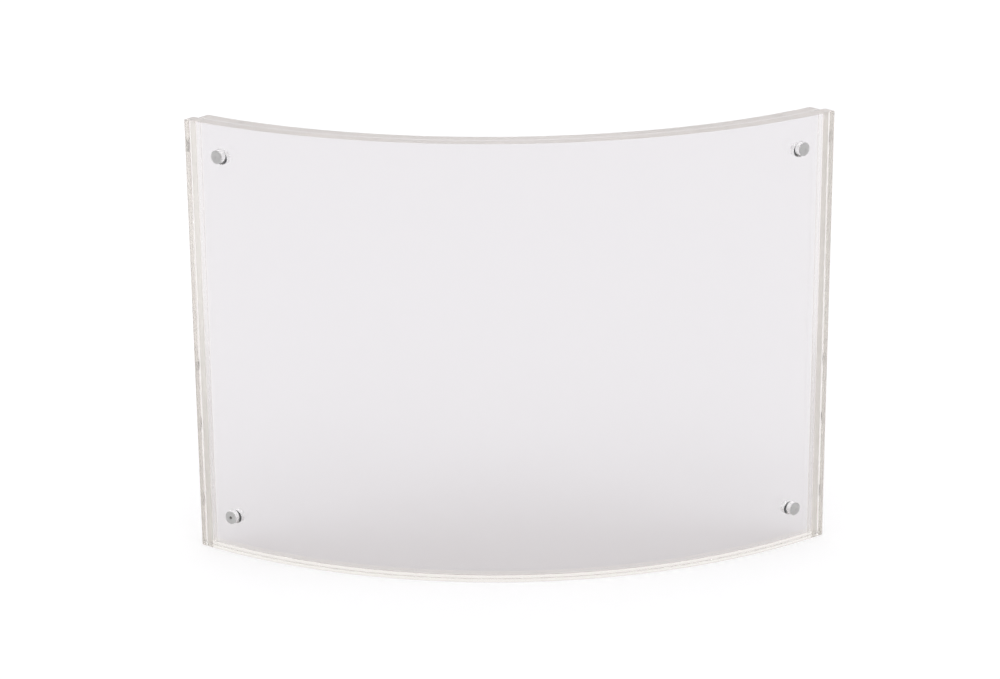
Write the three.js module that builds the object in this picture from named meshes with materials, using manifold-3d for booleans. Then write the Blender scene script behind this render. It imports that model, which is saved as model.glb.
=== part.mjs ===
// Curved sign holder: two concentric bent acrylic panels that magnets hold together round a paper sheet.
// Millimetres, +Z up. The convex face looks along -Y, and the holder stands on the panels' lower edges.

import * as THREE from 'three';
import { mergeVertices } from 'three/addons/utils/BufferGeometryUtils.js';
import Module from 'manifold-3d';

const wasm = await Module();
wasm.setup();

// Driving dimensions: the two panels
const panelHeight = 215.9;
const sheetThickness = 6.35;
const frontFaceRadius = 247.6;
const frontPanelLength = 326.7; // along the middle of the sheet's thickness
const rearPanelLength = 311.4; // along the middle of the sheet's thickness
const insertGap = 0.5; // the paper's slot between the panels
const edgeArris = 0.2; // polished break on every outer edge

// Driving dimensions: the magnets and their blind holes
const insertWidth = 279.4; // the paper sheet that fits between the left and right magnets
const insertSideClearance = 0.3;
const magnetDiameter = 6.35;
const magnetLength = 3.175;
const magnetArris = 0.3;
const magnetRecess = 1.4; // below the face that the hole is drilled from
const magnetFromTop = 15.9;
const magnetFromBottom = 17.9;
const glueGap = 0.1; // round the magnet and at the bottom of its hole
const holeMouthChamfer = 0.1;
const drillTipDiameter = 1.4;
const drillTipDepth = 0.4;

// Driving dimensions: how far the rear magnets sit from the front ones, towards the middle and down
const rearTopMagnetShift = 0.2;
const rearTopMagnetDrop = 1.1;
const rearBottomMagnetShift = 0.8;
const rearBottomMagnetDrop = 0.3;

// Fineness of the round faces
const bendSteps = 80;
const roundSteps = 40;
const cutterOverrun = 2;

// Radii of the four faces about the bend axis, from the front face to the back one
const frontMatingRadius = frontFaceRadius - sheetThickness;
const rearMatingRadius = frontMatingRadius - insertGap;
const backFaceRadius = rearMatingRadius - sheetThickness;

// Hole sizes and places
const holeRadius = magnetDiameter / 2 + glueGap;
const holeDepth = magnetRecess + magnetLength + glueGap;
const insertRadius = frontMatingRadius - insertGap / 2;
const magnetAngle = (insertWidth / 2 + insertSideClearance + magnetDiameter / 2) / insertRadius;
const magnetRows = [
  {
    name: 'top',
    height: panelHeight - magnetFromTop,
    rearShift: rearTopMagnetShift,
    rearDrop: rearTopMagnetDrop,
  },
  {
    name: 'bottom',
    height: magnetFromBottom,
    rearShift: rearBottomMagnetShift,
    rearDrop: rearBottomMagnetDrop,
  },
];

const acrylicMaterial = new THREE.MeshStandardMaterial({
  color: 0xe6e5e8,
  roughness: 0.05,
  metalness: 0,
  transparent: true,
  opacity: 0.35,
});
const nickelMaterial = new THREE.MeshStandardMaterial({ color: 0xb8babd, roughness: 0.25, metalness: 1 });

// Turns a closed geometry into a solid, without the slivers that a revolved profile has on its axis
function solidFrom(geometry) {
  geometry.deleteAttribute('normal');
  geometry.deleteAttribute('uv');
  const merged = mergeVertices(geometry);
  const corners = merged.index.array;
  const kept = [];
  for (let i = 0; i < corners.length; i += 3) {
    const [a, b, c] = corners.slice(i, i + 3);
    if (a !== b && b !== c && c !== a) {
      kept.push(a, b, c);
    }
  }
  const mesh = new wasm.Mesh({
    numProp: 3,
    vertProperties: new Float32Array(merged.attributes.position.array),
    triVerts: new Uint32Array(kept),
  });
  return new wasm.Manifold(mesh);
}

function geometryFrom(solid) {
  const mesh = solid.getMesh();
  const geometry = new THREE.BufferGeometry();
  geometry.setAttribute('position', new THREE.BufferAttribute(mesh.vertProperties, 3));
  geometry.setIndex(new THREE.BufferAttribute(mesh.triVerts, 1));
  geometry.computeVertexNormals();
  return geometry;
}

// A point at a radius from the bend axis, with angle 0 at the front
function bendPoint(radius, angle) {
  return new THREE.Vector2(radius * Math.sin(angle), -radius * Math.cos(angle));
}

// The panel's plan: a ring sector whose four corners are broken by the arris
function panelPlan(outerRadius, length) {
  const innerRadius = outerRadius - sheetThickness;
  const halfAngle = length / (outerRadius + innerRadius);
  const front = -Math.PI / 2;
  const outerEnd = halfAngle - edgeArris / outerRadius;
  const innerEnd = halfAngle - edgeArris / innerRadius;
  const plan = new THREE.Shape();
  plan.absarc(0, 0, outerRadius, front - outerEnd, front + outerEnd, false);
  for (const radius of [outerRadius - edgeArris, innerRadius + edgeArris]) {
    const corner = bendPoint(radius, halfAngle);
    plan.lineTo(corner.x, corner.y);
  }
  plan.absarc(0, 0, innerRadius, front + innerEnd, front - innerEnd, true);
  for (const radius of [innerRadius + edgeArris, outerRadius - edgeArris]) {
    const corner = bendPoint(radius, -halfAngle);
    plan.lineTo(corner.x, corner.y);
  }
  plan.closePath();
  return plan;
}

function panelBlank(outerRadius, length) {
  const blank = new THREE.ExtrudeGeometry(panelPlan(outerRadius, length), {
    depth: panelHeight - 2 * edgeArris,
    curveSegments: bendSteps / 2,
    bevelEnabled: true,
    bevelThickness: edgeArris,
    bevelSize: edgeArris,
    bevelOffset: -edgeArris,
    bevelSegments: 1,
  });
  blank.translate(0, 0, edgeArris);
  return solidFrom(blank);
}

// The drill's shape, with its mouth at 0 and its tip along +Y
function holeCutter() {
  const mouthRadius = holeRadius + holeMouthChamfer;
  const profile = [
    new THREE.Vector2(0, -cutterOverrun),
    new THREE.Vector2(mouthRadius, -cutterOverrun),
    new THREE.Vector2(mouthRadius, 0),
    new THREE.Vector2(holeRadius, holeMouthChamfer),
    new THREE.Vector2(holeRadius, holeDepth),
    new THREE.Vector2(drillTipDiameter / 2, holeDepth),
    new THREE.Vector2(0, holeDepth + drillTipDepth),
  ];
  return new THREE.LatheGeometry(profile, roundSteps);
}

function magnetBody() {
  const radius = magnetDiameter / 2;
  const profile = [
    new THREE.Vector2(0, 0),
    new THREE.Vector2(radius - magnetArris, 0),
    new THREE.Vector2(radius, magnetArris),
    new THREE.Vector2(radius, magnetLength - magnetArris),
    new THREE.Vector2(radius - magnetArris, magnetLength),
    new THREE.Vector2(0, magnetLength),
  ];
  const body = new THREE.LatheGeometry(profile, roundSteps);
  body.translate(0, magnetRecess, 0);
  return geometryFrom(solidFrom(body));
}

// The corners' places in one panel
function magnetPlaces(side) {
  const places = [];
  for (const row of magnetRows) {
    const shift = side === 'rear' ? row.rearShift : 0;
    const drop = side === 'rear' ? row.rearDrop : 0;
    const angle = magnetAngle - shift / insertRadius;
    const height = row.height - drop;
    places.push({ corner: `${row.name}_left`, angle: -angle, height });
    places.push({ corner: `${row.name}_right`, angle, height });
  }
  return places;
}

// Puts an object whose mouth is at 0 on a mating face, with its +Y pointing into the sheet
function seatInHole(object, side, matingRadius, place) {
  const mouth = bendPoint(matingRadius, place.angle);
  object.position.set(mouth.x, mouth.y, place.height);
  object.rotation.z = side === 'front' ? Math.PI + place.angle : place.angle;
  object.updateMatrix();
  return object;
}

function drilledPanel(side, outerRadius, length, matingRadius) {
  let panel = panelBlank(outerRadius, length);
  for (const place of magnetPlaces(side)) {
    const seat = seatInHole(new THREE.Object3D(), side, matingRadius, place);
    panel = panel.subtract(solidFrom(holeCutter().applyMatrix4(seat.matrix)));
  }
  return geometryFrom(panel);
}

// One panel and the four magnets glued into it
function panelAssembly(side, outerRadius, length, matingRadius) {
  const assembly = new THREE.Group();
  const panel = new THREE.Mesh(drilledPanel(side, outerRadius, length, matingRadius), acrylicMaterial);
  panel.name = `${side}_panel`;
  assembly.add(panel);
  for (const place of magnetPlaces(side)) {
    const magnet = new THREE.Mesh(magnetBody(), nickelMaterial);
    magnet.name = `${side}_magnet_${place.corner}`;
    assembly.add(seatInHole(magnet, side, matingRadius, place));
  }
  return assembly;
}

const holder = new THREE.Group();
holder.add(panelAssembly('front', frontFaceRadius, frontPanelLength, frontMatingRadius));
holder.add(panelAssembly('rear', rearMatingRadius, rearPanelLength, rearMatingRadius));

// The origin is under the middle of the holder's box
const box = new THREE.Box3().setFromObject(holder, true);
const centre = box.getCenter(new THREE.Vector3());
holder.position.set(-centre.x, -centre.y, -box.min.z);
holder.updateMatrixWorld(true);

export default holder;
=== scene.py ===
"""Looks of the curved acrylic sign holder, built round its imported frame. Metres, +Z up, front along -Y."""

import math

import bmesh
import bpy
from mathutils import Matrix, Vector


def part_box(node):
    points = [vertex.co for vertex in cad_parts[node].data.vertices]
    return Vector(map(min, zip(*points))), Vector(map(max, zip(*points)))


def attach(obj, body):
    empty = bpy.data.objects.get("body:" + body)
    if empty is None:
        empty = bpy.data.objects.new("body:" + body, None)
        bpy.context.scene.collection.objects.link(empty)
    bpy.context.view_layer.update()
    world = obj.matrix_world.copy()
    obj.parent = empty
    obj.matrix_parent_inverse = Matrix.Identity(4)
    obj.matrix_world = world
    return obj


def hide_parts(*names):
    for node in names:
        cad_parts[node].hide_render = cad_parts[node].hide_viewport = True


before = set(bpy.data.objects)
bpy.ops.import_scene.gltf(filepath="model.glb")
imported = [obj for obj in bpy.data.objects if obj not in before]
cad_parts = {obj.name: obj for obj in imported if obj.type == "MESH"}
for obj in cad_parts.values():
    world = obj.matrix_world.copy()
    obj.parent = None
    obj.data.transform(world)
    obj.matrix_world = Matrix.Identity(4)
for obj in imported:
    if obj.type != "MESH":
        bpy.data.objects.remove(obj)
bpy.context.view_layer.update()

MM = 0.001

# Panels, whose lengths run along the middle of the sheet's thickness
SHEET_THICKNESS = 6.35 * MM
FRONT_FACE_RADIUS = 247.6 * MM
FRONT_PANEL_LENGTH = 326.7 * MM
REAR_PANEL_LENGTH = 311.4 * MM
INSERT_GAP = 0.5 * MM  # the paper's slot between the panels
EDGE_ROUND = 0.1 * MM
END_TRIM = 0.15 * MM  # keeps the fine corners inside the box of the solid, whose arrises are wider

# Magnets and their blind holes
INSERT_WIDTH = 279.4 * MM  # the paper sheet that fits between the left and right magnets
INSERT_SIDE_CLEARANCE = 0.3 * MM
MAGNET_DIAMETER = 6.35 * MM
MAGNET_LENGTH = 3.175 * MM
MAGNET_ARRIS = 0.3 * MM
MAGNET_RECESS = 1.4 * MM  # below the face that the hole is drilled from
MAGNET_FROM_TOP = 15.9 * MM
MAGNET_FROM_BOTTOM = 17.9 * MM
GLUE_GAP = 0.1 * MM
HOLE_MOUTH_CHAMFER = 0.1 * MM
DRILL_TIP_DIAMETER = 1.4 * MM
DRILL_TIP_DEPTH = 0.4 * MM

# How far the rear magnets sit from the front ones, towards the middle and down
REAR_TOP_SHIFT = 0.2 * MM
REAR_TOP_DROP = 1.1 * MM
REAR_BOTTOM_SHIFT = 0.8 * MM
REAR_BOTTOM_DROP = 0.3 * MM

# Fineness of the meshes
BEND_STEPS = 200
ROUND_STEPS = 64
ARRIS_STEPS = 4
ROUND_PROFILE = 0.5
CUTTER_OVERRUN = 2 * MM
HOLE_SHARP_ANGLE = math.radians(30)
MAGNET_SHARP_ANGLE = math.radians(40)

# Places that follow from the frame and the sizes above
FRONT_LOW, FRONT_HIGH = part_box("front_panel")
PANEL_HEIGHT = FRONT_HIGH.z - FRONT_LOW.z
BEND_AXIS_Y = FRONT_LOW.y + FRONT_FACE_RADIUS
FRONT_MATING_RADIUS = FRONT_FACE_RADIUS - SHEET_THICKNESS
REAR_MATING_RADIUS = FRONT_MATING_RADIUS - INSERT_GAP
FRONT_MIDDLE_RADIUS = FRONT_FACE_RADIUS - SHEET_THICKNESS / 2
REAR_MIDDLE_RADIUS = REAR_MATING_RADIUS - SHEET_THICKNESS / 2
HOLE_RADIUS = MAGNET_DIAMETER / 2 + GLUE_GAP
HOLE_DEPTH = MAGNET_RECESS + MAGNET_LENGTH + GLUE_GAP
INSERT_RADIUS = FRONT_MATING_RADIUS - INSERT_GAP / 2
MAGNET_ANGLE = (INSERT_WIDTH / 2 + INSERT_SIDE_CLEARANCE + MAGNET_DIAMETER / 2) / INSERT_RADIUS

# Marks on the panels' faces, and the cosines and depth that tell the faces apart
FACE_MARKS = ("drilled", "dark_tip", "narrow", "satin", "arris", "mating")
BROAD_FACING = 0.97  # the front and back of a sheet
FLAT_FACING = 0.99  # the flat of an edge, between its arrises
TOP_FACING = 0.05  # the top edge with its arrises
END_FACING = 0.5  # the end of a hole or a magnet, rather than its round side
SKIN_DEPTH = 0.02 * MM  # deeper than this there are only holes
HOLE_END_FROST = 1.3
HOLE_WALL_FROST = 0.15

# Camera, from a fit to the panels' edges in the photograph, with its turns in radians
CAMERA_IN_FRONT = 1282.5 * MM
CAMERA_HEIGHT = 555.3 * MM
CAMERA_SIDE = -33.25 * MM
CAMERA_PITCH = 0.3255
CAMERA_YAW = 0.0207
CAMERA_ROLL = -0.0081
FOCAL_PIXELS = 2917.9
PHOTO_WIDTH = 1000
SENSOR_WIDTH = 36

# Acrylic: the tints of its faces, edges and holes, and of the sheet seen along its length
SHEET_TINT = (0.891, 0.88, 0.888, 1)
# painted light: the lighter, warmer tint of the bottom and end margins
PAINTED_LIGHT_MARGIN_TINT = (0.96, 0.94, 0.913, 1)
STRIP_TINT = (0.99, 0.95, 0.905, 1)
EDGE_TINT = (1, 0.99, 0.98, 1)
SATIN_TINT = (0.825, 0.77, 0.75, 1)
STREAK_TINT = (0.84, 0.73, 0.73, 1)
FROST_TINT = (0.97, 0.97, 0.96, 1)
ARRIS_TINT = (0.97, 0.95, 0.93, 1)
# the near black colour of the drill tip in the front panel's bottom left hole
DARK_TIP_TINT = (0.09, 0.08, 0.07, 1)
ACRYLIC_IOR = 1.49
BODY_COLOUR = (0.75, 0.65, 0.55, 1)
BODY_DENSITY = 0.12

# Acrylic: the hazy strip on the front panel's mating face, which shows past the rear panel's ends
STRIP_LAP = 1.2 * MM  # over the rear panel's ends
STRIP_INNER_FADE = 0.5 * MM
STRIP_OUTER_FADE = 0.2 * MM
STRIP_END_GAP = 0.8 * MM  # clear sheet between the strip and the front panel's end
STRIP_FROM = REAR_PANEL_LENGTH / 2 * FRONT_MIDDLE_RADIUS / REAR_MIDDLE_RADIUS - STRIP_LAP
STRIP_FULL = STRIP_FROM + STRIP_INNER_FADE
STRIP_TO = FRONT_PANEL_LENGTH / 2 - STRIP_END_GAP
STRIP_GONE = STRIP_TO + STRIP_OUTER_FADE
LEFT_LIGHT_FROM = 30 * MM  # painted light: at the left end the strip gets clearer, and so lighter, from this height up, for the stronger light on that end
LEFT_LIGHT_FULL = 150 * MM

# Acrylic: painted light, a lighter and warmer tint in the margins along the bottom edge and at both ends,
# for the brighter bands of light reflected inside the sheet there
BOTTOM_MARGIN = 2 * MM
BOTTOM_MARGIN_FADE = 0.3 * MM
END_MARGIN_LAP = 3 * MM  # past the strip, towards the middle
END_MARGIN_FADE = 1 * MM
END_MARGIN_FULL = STRIP_FROM - END_MARGIN_LAP
END_MARGIN_FROM = END_MARGIN_FULL - END_MARGIN_FADE

# Acrylic: patterns, with their waves per metre along the sheet, through it and up, and where they show
WAVINESS = {"waves": (25, 25, 25), "detail": 1}
WIPING = {"waves": (35, 300, 2600), "detail": 2}
WIPING_SHOWS = (0.62, 0.75)
POLISHING = {"waves": (45, 2600, 45), "detail": 3}
GRIT = {"waves": (2400, 2400, 2400), "detail": 2}
STREAKS = {"waves": (14, 750, 14), "detail": 2}
STREAKS_SHOW = (0.5, 0.72)
WAVINESS_DEPTH = 0.01 * MM
POLISHING_DEPTH = 0.0005 * MM
GRIT_DEPTH = 0.05 * MM

# Acrylic: how much each mark or pattern adds to the roughness, and how much haze takes from the clearness
WIPING_ROUGHNESS = 0.02
POLISHING_ROUGHNESS = 0.04
SATIN_ROUGHNESS = 0.3
HOLE_ROUGHNESS = 0.3
GRIT_ROUGHNESS = 0.3
SATIN_HAZE = 0.35
ARRIS_HAZE = 0.7
STRIP_HAZE = 0.85
STRIP_LEFT_LIGHT = 0.3  # painted light: clearness given back at the upper left end of the strip
HOLE_HAZE = 0.5
DARK_TIP_HAZE = 0.5

# Magnets: bright plate, and painted shade, dark and dull, on the ends that face the paper's slot, for the
# shaded gap between the front and rear magnets
PLATE_TINT = (0.93, 0.93, 0.91, 1)
PLATE_SHADE = (0.8, 0.8, 0.79, 1)
PLATE_ROUGHNESS = 0.12
MOTTLE = {"waves": (700, 700, 700), "detail": 3}
MOTTLE_SHOWS = (0.35, 0.7)
SCUFFS = {"waves": (900, 900, 5200), "detail": 3}
SCUFF_ROUGHNESS = 0.16
SCUFF_DEPTH = 0.003 * MM
# painted shade: near black on the magnet ends that face the slot
PAINTED_SHADE_TINT = (0.012, 0.016, 0.022, 1)
PAINTED_SHADE_ROUGHNESS = 0.25
PAINTED_SHADE_GLOSS = 0.15

# Studio: each key has its strength and the way that its light goes
FLOOR_DROP = 0.15 * MM
FLOOR_HALF = 6
FLOOR_TINT = (0.525, 0.555, 0.585, 1)
FLOOR_ROUGHNESS = 0.9
FLOOR_GLOW = (1, 0.94, 0.9, 1)
FLOOR_LIFT = 0.525
WORLD_TINT = (1, 1, 1, 1)
WORLD_LIGHT = 0.735
KEY_SPREAD = math.radians(40)
KEYS = {
    "front_key": (0.35, Vector((0, 1, -1))),
    "left_key": (0.5, Vector((0.9, 0.35, -0.9))),
    "right_key": (0.5, Vector((-0.9, 0.35, -0.9))),
}
LIGHT_BOUNCES = 160  # light goes to and fro in the clear sheets


def bend_frame(angle):
    """The directions along the sheet, out of its front and up, at an angle about the bend axis."""
    along = Vector((math.cos(angle), math.sin(angle), 0))
    outward = Vector((math.sin(angle), -math.cos(angle), 0))
    return along, outward, Vector((0, 0, 1))


def bend_point(radius, angle, z):
    """The point at a radius and an angle about the bend axis, with angle 0 at the front."""
    return Vector((radius * math.sin(angle), BEND_AXIS_Y - radius * math.cos(angle), z))


def unbend(point, middle_radius):
    """The slab point that a bent point comes from (along, inward of the middle, up), and its angle."""
    away = Vector((point.x, point.y - BEND_AXIS_Y))
    angle = math.atan2(away.x, -away.y)
    return Vector((angle * middle_radius, middle_radius - away.length, point.z)), angle


def new_mesh(name, bm):
    mesh = bpy.data.meshes.new(name)
    bm.to_mesh(mesh)
    bm.free()
    return mesh


def new_object(name, data):
    made = bpy.data.objects.new(name, data)
    bpy.context.scene.collection.objects.link(made)
    return made


def lathe(profile, place):
    """Turns a profile of (radius, height) points, from axis to axis, about +Y and places it."""
    bm = bmesh.new()
    turns = [2 * math.pi * step / ROUND_STEPS for step in range(ROUND_STEPS)]
    rings = []
    for radius, height in profile:
        if radius == 0:
            rings.append([bm.verts.new((0, height, 0))])
        else:
            spots = [(radius * math.cos(turn), height, radius * math.sin(turn)) for turn in turns]
            rings.append([bm.verts.new(spot) for spot in spots])
    for low, high in zip(rings, rings[1:]):
        for here in range(ROUND_STEPS):
            there = (here + 1) % ROUND_STEPS
            corners = [
                low[here % len(low)],
                high[here % len(high)],
                high[there % len(high)],
                low[there % len(low)],
            ]
            bm.faces.new(list(dict.fromkeys(corners)))
    bmesh.ops.recalc_face_normals(bm, faces=bm.faces)
    bm.transform(place)
    return bm


def magnet_places(side):
    """Each corner's angle about the bend axis and height, in one panel."""
    rows = {
        "top": (PANEL_HEIGHT - MAGNET_FROM_TOP, REAR_TOP_SHIFT, REAR_TOP_DROP),
        "bottom": (MAGNET_FROM_BOTTOM, REAR_BOTTOM_SHIFT, REAR_BOTTOM_DROP),
    }
    places = {}
    for row, (z, rear_shift, rear_drop) in rows.items():
        shift = rear_shift if side == "rear" else 0
        drop = rear_drop if side == "rear" else 0
        angle = MAGNET_ANGLE - shift / INSERT_RADIUS
        places[row + "_left"] = (-angle, z - drop)
        places[row + "_right"] = (angle, z - drop)
    return places


def hole_seat(side, mating_radius, place):
    """The matrix that puts a lathe's 0 on a mating face with its +Y into the sheet."""
    angle, z = place
    turn = math.pi + angle if side == "front" else angle
    return Matrix.Translation(bend_point(mating_radius, angle, z)) @ Matrix.Rotation(turn, 4, "Z")


def hole_profile():
    """The drill's shape: its mouth at 0, with a chamfer, and its tip past the hole's depth."""
    mouth = HOLE_RADIUS + HOLE_MOUTH_CHAMFER
    return [
        (0, -CUTTER_OVERRUN),
        (mouth, -CUTTER_OVERRUN),
        (mouth, 0),
        (HOLE_RADIUS, HOLE_MOUTH_CHAMFER),
        (HOLE_RADIUS, HOLE_DEPTH),
        (DRILL_TIP_DIAMETER / 2, HOLE_DEPTH),
        (0, HOLE_DEPTH + DRILL_TIP_DEPTH),
    ]


def magnet_profile():
    """A disc below its recess, with rounded rims that mirror each other."""
    rim = MAGNET_DIAMETER / 2
    turns = [math.pi / 2 * step / ARRIS_STEPS for step in range(ARRIS_STEPS + 1)]
    low = [
        (rim - MAGNET_ARRIS * (1 - math.sin(turn)), MAGNET_RECESS + MAGNET_ARRIS * (1 - math.cos(turn)))
        for turn in turns
    ]
    both_ends = 2 * MAGNET_RECESS + MAGNET_LENGTH
    high = [(radius, both_ends - height) for radius, height in reversed(low)]
    return [(0, MAGNET_RECESS), *low, *high, (0, MAGNET_RECESS + MAGNET_LENGTH)]


def flat_slab(length):
    """The sheet before bending, centred along and through, with rounded arrises and cut into steps."""
    bm = bmesh.new()
    bmesh.ops.create_cube(bm, size=1)
    bmesh.ops.scale(bm, vec=(length, SHEET_THICKNESS, PANEL_HEIGHT), verts=bm.verts)
    bmesh.ops.translate(bm, vec=(0, 0, PANEL_HEIGHT / 2), verts=bm.verts)
    bmesh.ops.bevel(
        bm,
        geom=bm.edges[:],
        affect="EDGES",
        offset=EDGE_ROUND,
        offset_type="OFFSET",
        segments=ARRIS_STEPS,
        profile=ROUND_PROFILE,
    )
    inner = length / 2 - EDGE_ROUND
    for step in range(1, BEND_STEPS):
        cut = -inner + 2 * inner * step / BEND_STEPS
        geometry = bm.verts[:] + bm.edges[:] + bm.faces[:]
        bmesh.ops.bisect_plane(bm, geom=geometry, plane_co=(cut, 0, 0), plane_no=(1, 0, 0))
    return bm


def slab_normal(point, length):
    """The smooth normal of the slab's rounded skin: away from the nearest point of its core."""
    half = Vector((length, SHEET_THICKNESS, PANEL_HEIGHT)) / 2
    core = half - Vector((EDGE_ROUND, EDGE_ROUND, EDGE_ROUND))
    local = point - Vector((0, 0, PANEL_HEIGHT / 2))
    nearest = Vector(max(-reach, min(reach, value)) for reach, value in zip(core, local))
    return (local - nearest).normalized()


def hole_cutters(name, side, mating_radius):
    """One object of the four drills."""
    bm = bmesh.new()
    for place in magnet_places(side).values():
        drill = new_mesh(name, lathe(hole_profile(), hole_seat(side, mating_radius, place)))
        bm.from_mesh(drill)
        bpy.data.meshes.remove(drill)
    return new_object(name, new_mesh(name, bm))


def bent_panel(name, side, length, middle_radius, mating_radius):
    """A bent sheet with blind magnet holes drilled into its mating face, and exact normals on its skin."""
    bm = flat_slab(length)
    for vert in bm.verts:
        vert.co = bend_point(middle_radius - vert.co.y, vert.co.x / middle_radius, vert.co.z)
    panel = new_object(name, new_mesh(name, bm))
    cutters = hole_cutters(name + "_holes", side, mating_radius)
    cut = panel.modifiers.new("holes", "BOOLEAN")
    cut.operation = "DIFFERENCE"
    cut.solver = "EXACT"
    cut.object = cutters
    cut.material_mode = "INDEX"
    bpy.context.view_layer.update()
    drilled = bpy.data.meshes.new_from_object(panel.evaluated_get(bpy.context.evaluated_depsgraph_get()))
    panel.modifiers.clear()
    panel.data = drilled
    bpy.data.objects.remove(cutters)
    finish_skin(drilled, side, length, middle_radius)
    return panel


def in_hole(slab_point, length):
    """True for a point inside the sheet's skin, which only a hole's wall can be."""
    low = Vector((-length / 2, -SHEET_THICKNESS / 2, 0))
    high = Vector((length / 2, SHEET_THICKNESS / 2, PANEL_HEIGHT))
    limits = zip(low, slab_point, high)
    return all(least + SKIN_DEPTH < value < most - SKIN_DEPTH for least, value, most in limits)


def dark_tip(face_centre, side):
    """True at the drill's tip in the front panel's bottom left hole, which is coloured near black."""
    if side != "front":
        return False
    place = magnet_places(side)["bottom_left"]
    local = hole_seat(side, FRONT_MATING_RADIUS, place).inverted() @ face_centre
    return local.y > HOLE_DEPTH and math.hypot(local.x, local.z) < DRILL_TIP_DIAMETER


def face_marks(face, side, slab_centre, angle, length):
    """What one face is: in a hole, on a narrow edge, or on the front panel's mating side."""
    along, outward, up = bend_frame(angle)
    facing = face.normal.dot(outward)
    if in_hole(slab_centre, length):
        frost = HOLE_END_FROST if abs(facing) > END_FACING else HOLE_WALL_FROST
        return {"drilled": frost, "dark_tip": float(dark_tip(face.center, side))}
    if abs(facing) < BROAD_FACING:
        flat = max(abs(face.normal.dot(along)), abs(face.normal.dot(up))) > FLAT_FACING
        top = face.normal.dot(up) > TOP_FACING
        return {"narrow": 1.0, "satin": float(top), "arris": float(not flat and not top)}
    return {"mating": float(side == "front" and facing < 0)}


def add_attribute(mesh, name, kind, domain, values):
    field = "vector" if kind == "FLOAT_VECTOR" else "value"
    mesh.attributes.new(name, kind, domain).data.foreach_set(field, values)


def finish_skin(mesh, side, length, middle_radius):
    """Marks what each face is and gives the skin the normals of a true cylinder."""
    marks = []
    normals = [Vector((0, 0, 0))] * len(mesh.loops)
    for face in mesh.polygons:
        face.use_smooth = True
        slab_centre, angle = unbend(face.center, middle_radius)
        mark = face_marks(face, side, slab_centre, angle, length)
        marks.append(mark)
        if "drilled" in mark:
            continue
        for loop in face.loop_indices:
            slab_point, angle = unbend(mesh.vertices[mesh.loops[loop].vertex_index].co, middle_radius)
            along, outward, up = bend_frame(angle)
            flat = slab_normal(slab_point, length)
            normals[loop] = (along * flat.x - outward * flat.y + up * flat.z).normalized()
    mesh.set_sharp_from_angle(angle=HOLE_SHARP_ANGLE)
    mesh.normals_split_custom_set(normals)
    for name in FACE_MARKS:
        add_attribute(mesh, name, "FLOAT", "FACE", [mark.get(name, 0.0) for mark in marks])
    places = [value for vert in mesh.vertices for value in unbend(vert.co, middle_radius)[0]]
    add_attribute(mesh, "sheet_place", "FLOAT_VECTOR", "POINT", places)


def round_magnet(name, side, mating_radius, place):
    """A disc magnet in its hole, with the end that faces the paper's slot marked for painted shade."""
    seat = hole_seat(side, mating_radius, place)
    mesh = new_mesh(name, lathe(magnet_profile(), seat))
    into_sheet = seat.to_3x3() @ Vector((0, 1, 0))
    painted_shade_end = []
    for face in mesh.polygons:
        face.use_smooth = True
        # the ends that face the paper's slot get painted shade
        painted_shade_end.append(float(face.normal.dot(into_sheet) < -END_FACING))
    mesh.set_sharp_from_angle(angle=MAGNET_SHARP_ANGLE)
    add_attribute(mesh, "painted_shade_end", "FLOAT", "FACE", painted_shade_end)
    return new_object(name, mesh)


def shader_tree(material):
    material.use_nodes = True
    return material.node_tree, material.node_tree.nodes["Principled BSDF"]


def feed(tree, socket, value):
    """Gives a socket a plain value or another node's output."""
    if isinstance(value, bpy.types.NodeSocket):
        tree.links.new(value, socket)
    else:
        socket.default_value = value


def attribute(tree, name, output="Fac"):
    node = tree.nodes.new("ShaderNodeAttribute")
    node.attribute_name = name
    return node.outputs[output]


def maths(tree, operation, first, second=0.0):
    node = tree.nodes.new("ShaderNodeMath")
    node.operation = operation
    feed(tree, node.inputs[0], first)
    feed(tree, node.inputs[1], second)
    return node.outputs["Value"]


def product(tree, first, second):
    return maths(tree, "MULTIPLY", first, second)


def ramp(tree, value, start, full):
    """A smooth step from 0 at start to 1 at full."""
    node = tree.nodes.new("ShaderNodeMapRange")
    node.interpolation_type = "SMOOTHSTEP"
    node.inputs["From Min"].default_value = start
    node.inputs["From Max"].default_value = full
    feed(tree, node.inputs["Value"], value)
    return node.outputs["Result"]


def mixed(tree, factor, first, second):
    """A colour between two."""
    node = tree.nodes.new("ShaderNodeMix")
    node.data_type = "RGBA"
    sockets = {socket.identifier: socket for socket in (*node.inputs, *node.outputs)}
    feed(tree, sockets["Factor_Float"], factor)
    feed(tree, sockets["A_Color"], first)
    feed(tree, sockets["B_Color"], second)
    return sockets["Result_Color"]


def noise(tree, place, waves, detail):
    """Noise with the given number of waves per metre along each of a place's axes."""
    spread = tree.nodes.new("ShaderNodeMapping")
    spread.inputs["Scale"].default_value = waves
    feed(tree, spread.inputs["Vector"], place)
    texture = tree.nodes.new("ShaderNodeTexNoise")
    texture.inputs["Scale"].default_value = 1
    texture.inputs["Detail"].default_value = detail
    feed(tree, texture.inputs["Vector"], spread.outputs["Vector"])
    return texture.outputs["Fac"]


def bump(tree, height, depth, below=None):
    """A normal bent by a height from 0 to 1, on top of another normal."""
    node = tree.nodes.new("ShaderNodeBump")
    node.inputs["Distance"].default_value = depth
    feed(tree, node.inputs["Height"], height)
    if below:
        feed(tree, node.inputs["Normal"], below)
    return node.outputs["Normal"]


def weighted(tree, start, parts):
    """The sum of a start value and of shares of other values."""
    total = start
    for value, share in parts:
        total = maths(tree, "ADD", total, product(tree, value, share))
    return total


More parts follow.
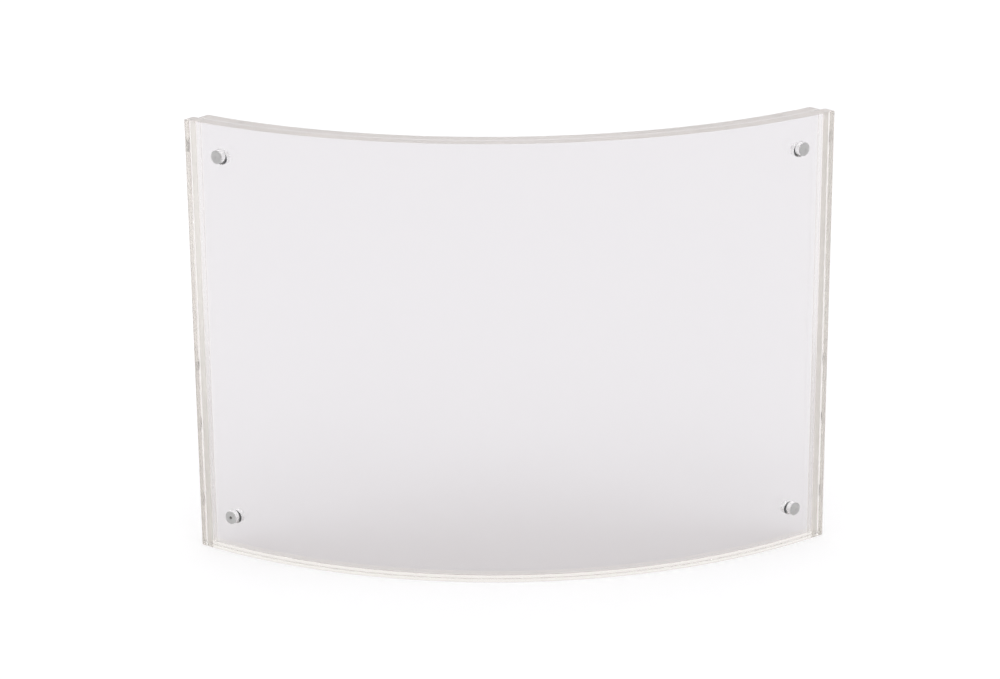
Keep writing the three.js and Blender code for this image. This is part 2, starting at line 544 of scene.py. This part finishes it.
def clear_acrylic():
    """Clear sheet: polished faces, lined edges, satin top, frosted holes and arrises, hazy end strips, with
    painted light in lighter margins at the bottom and ends and in a clearer upper left strip, and a near
    black drill tip.
    """
    material = bpy.data.materials.new("clear_acrylic")
    tree, shader = shader_tree(material)
    mark = {name: attribute(tree, name) for name in FACE_MARKS}
    place = attribute(tree, "sheet_place", "Vector")
    axes = tree.nodes.new("ShaderNodeSeparateXYZ")
    feed(tree, axes.inputs["Vector"], place)
    along = axes.outputs["X"]
    height = axes.outputs["Z"]
    from_middle = maths(tree, "ABSOLUTE", along)

    waviness = noise(tree, place, **WAVINESS)
    wiping = ramp(tree, noise(tree, place, **WIPING), *WIPING_SHOWS)
    lined = product(tree, mark["narrow"], noise(tree, place, **POLISHING))
    frosted = product(tree, mark["drilled"], noise(tree, place, **GRIT))
    streaks = ramp(tree, noise(tree, place, **STREAKS), *STREAKS_SHOW)

    strip_begins = ramp(tree, from_middle, STRIP_FROM, STRIP_FULL)
    strip_ends = ramp(tree, from_middle, STRIP_GONE, STRIP_TO)
    strip = product(tree, product(tree, mark["mating"], strip_begins), strip_ends)
    left_end = ramp(tree, along, 0, -STRIP_FROM)
    upper = ramp(tree, height, LEFT_LIGHT_FROM, LEFT_LIGHT_FULL)
    # painted light: the upper left end of the strip is clearer and so lighter
    painted_left_light = product(tree, strip, product(tree, left_end, upper))
    bottom_margin = ramp(tree, height, BOTTOM_MARGIN + BOTTOM_MARGIN_FADE, BOTTOM_MARGIN)
    end_margin = ramp(tree, from_middle, END_MARGIN_FROM, END_MARGIN_FULL)
    painted_light_margin = maths(tree, "MAXIMUM", bottom_margin, end_margin)

    # painted light: the bottom and end margins take a lighter, warmer tint
    colour = mixed(tree, painted_light_margin, SHEET_TINT, PAINTED_LIGHT_MARGIN_TINT)
    colour = mixed(tree, strip, colour, STRIP_TINT)
    colour = mixed(tree, mark["narrow"], colour, mixed(tree, streaks, EDGE_TINT, STREAK_TINT))
    colour = mixed(tree, mark["satin"], colour, SATIN_TINT)
    colour = mixed(tree, mark["arris"], colour, ARRIS_TINT)
    colour = mixed(tree, mark["drilled"], colour, FROST_TINT)
    # the drill tip in the bottom left hole is coloured near black
    colour = mixed(tree, mark["dark_tip"], colour, DARK_TIP_TINT)
    feed(tree, shader.inputs["Base Color"], colour)

    roughness = [
        (wiping, WIPING_ROUGHNESS),
        (lined, POLISHING_ROUGHNESS),
        (mark["satin"], SATIN_ROUGHNESS),
        (mark["drilled"], HOLE_ROUGHNESS),
        (frosted, GRIT_ROUGHNESS),
    ]
    feed(tree, shader.inputs["Roughness"], weighted(tree, 0.0, roughness))
    clearness = [
        (mark["satin"], -SATIN_HAZE),
        (mark["arris"], -ARRIS_HAZE),
        (strip, -STRIP_HAZE),
        (painted_left_light, STRIP_LEFT_LIGHT),
        (mark["drilled"], -HOLE_HAZE),
        (mark["dark_tip"], -DARK_TIP_HAZE),
    ]
    feed(tree, shader.inputs["Transmission Weight"], weighted(tree, 1.0, clearness))
    relief = bump(tree, waviness, WAVINESS_DEPTH)
    relief = bump(tree, frosted, GRIT_DEPTH, relief)
    relief = bump(tree, lined, POLISHING_DEPTH, relief)
    feed(tree, shader.inputs["Normal"], relief)
    shader.inputs["IOR"].default_value = ACRYLIC_IOR

    body = tree.nodes.new("ShaderNodeVolumeAbsorption")
    body.inputs["Color"].default_value = BODY_COLOUR
    body.inputs["Density"].default_value = BODY_DENSITY
    feed(tree, tree.nodes["Material Output"].inputs["Volume"], body.outputs["Volume"])
    return material


def nickel_plate():
    """Bright, mottled plate with fine scuffs, and painted shade, dark and dull, on the ends that face the
    paper's slot.
    """
    material = bpy.data.materials.new("nickel_plate")
    tree, shader = shader_tree(material)
    painted_shade_end = attribute(tree, "painted_shade_end")
    place = tree.nodes.new("ShaderNodeTexCoord").outputs["Object"]
    mottle = ramp(tree, noise(tree, place, **MOTTLE), *MOTTLE_SHOWS)
    scuffs = noise(tree, place, **SCUFFS)
    plate = mixed(tree, mottle, PLATE_TINT, PLATE_SHADE)
    roughness = [(scuffs, SCUFF_ROUGHNESS), (painted_shade_end, PAINTED_SHADE_ROUGHNESS)]
    # painted shade: the ends that face the slot turn near black
    feed(tree, shader.inputs["Base Color"], mixed(tree, painted_shade_end, plate, PAINTED_SHADE_TINT))
    feed(tree, shader.inputs["Metallic"], maths(tree, "SUBTRACT", 1.0, painted_shade_end))
    feed(tree, shader.inputs["Roughness"], weighted(tree, PLATE_ROUGHNESS, roughness))
    feed(tree, shader.inputs["Normal"], bump(tree, scuffs, SCUFF_DEPTH))
    shader.inputs["Specular IOR Level"].default_value = PAINTED_SHADE_GLOSS
    return material


def make_camera():
    pitch, yaw = CAMERA_PITCH, CAMERA_YAW
    forward = Vector((math.sin(yaw) * math.cos(pitch), math.cos(yaw) * math.cos(pitch), -math.sin(pitch)))
    level = Vector((math.cos(yaw), -math.sin(yaw), 0))
    upright = level.cross(forward)
    right = math.cos(CAMERA_ROLL) * level + math.sin(CAMERA_ROLL) * upright
    up = right.cross(forward)
    lens = bpy.data.cameras.new("camera")
    lens.sensor_width = SENSOR_WIDTH
    lens.lens = FOCAL_PIXELS / PHOTO_WIDTH * SENSOR_WIDTH
    camera = new_object("camera", lens)
    camera.matrix_world = Matrix((right, up, -forward)).transposed().to_4x4()
    camera.location = (CAMERA_SIDE, FRONT_LOW.y - CAMERA_IN_FRONT, CAMERA_HEIGHT)
    bpy.context.scene.camera = camera


def seen_rays(tree):
    """1 for the rays that show the background: straight, in a reflection or through clear material."""
    ray = tree.nodes.new("ShaderNodeLightPath").outputs
    straight = maths(tree, "MAXIMUM", ray["Is Camera Ray"], ray["Is Glossy Ray"])
    return maths(tree, "MAXIMUM", straight, ray["Is Transmission Ray"])


def make_floor():
    half, z = FLOOR_HALF, -FLOOR_DROP
    corners = [(-half, -half, z), (half, -half, z), (half, half, z), (-half, half, z)]
    mesh = bpy.data.meshes.new("floor")
    mesh.from_pydata(corners, [], [(0, 1, 2, 3)])
    new_object("floor", mesh)
    material = bpy.data.materials.new("white_floor")
    tree, shader = shader_tree(material)
    shader.inputs["Base Color"].default_value = FLOOR_TINT
    shader.inputs["Roughness"].default_value = FLOOR_ROUGHNESS
    shader.inputs["Specular IOR Level"].default_value = 0
    shader.inputs["Emission Color"].default_value = FLOOR_GLOW
    feed(tree, shader.inputs["Emission Strength"], product(tree, seen_rays(tree), FLOOR_LIFT))
    mesh.materials.append(material)


def make_lights():
    for name, (strength, towards) in KEYS.items():
        sun = bpy.data.lights.new(name, "SUN")
        sun.energy = strength
        sun.angle = KEY_SPREAD
        new_object(name, sun).rotation_euler = towards.to_track_quat("-Z", "Y").to_euler()
    world = bpy.data.worlds.new("studio")
    bpy.context.scene.world = world
    world.use_nodes = True
    tree = world.node_tree
    sky = tree.nodes["Background"].inputs
    sky["Color"].default_value = WORLD_TINT
    feed(tree, sky["Strength"], weighted(tree, WORLD_LIGHT, [(seen_rays(tree), 1 - WORLD_LIGHT)]))


def dress(piece, node, body, material):
    """Gives a piece its finish and the body that carries it, and hides the node that it stands for."""
    piece.data.materials.clear()
    piece.data.materials.append(material)
    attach(piece, body)
    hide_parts(node)


make_camera()
acrylic = clear_acrylic()
nickel = nickel_plate()
sides = {
    "front": (FRONT_PANEL_LENGTH - 2 * END_TRIM, FRONT_MIDDLE_RADIUS, FRONT_MATING_RADIUS),
    "rear": (REAR_PANEL_LENGTH - 2 * END_TRIM, REAR_MIDDLE_RADIUS, REAR_MATING_RADIUS),
}
for side, (length, middle_radius, mating_radius) in sides.items():
    panel = bent_panel(side + "_sheet", side, length, middle_radius, mating_radius)
    dress(panel, side + "_panel", side + "_assembly", acrylic)
    for corner, place in magnet_places(side).items():
        magnet = round_magnet(f"{side}_magnet_body_{corner}", side, mating_radius, place)
        dress(magnet, f"{side}_magnet_{corner}", side + "_assembly", nickel)

make_floor()
make_lights()
scene = bpy.context.scene
scene.view_settings.view_transform = "Standard"
scene.cycles.max_bounces = LIGHT_BOUNCES
scene.cycles.transmission_bounces = LIGHT_BOUNCES
scene.cycles.glossy_bounces = LIGHT_BOUNCES
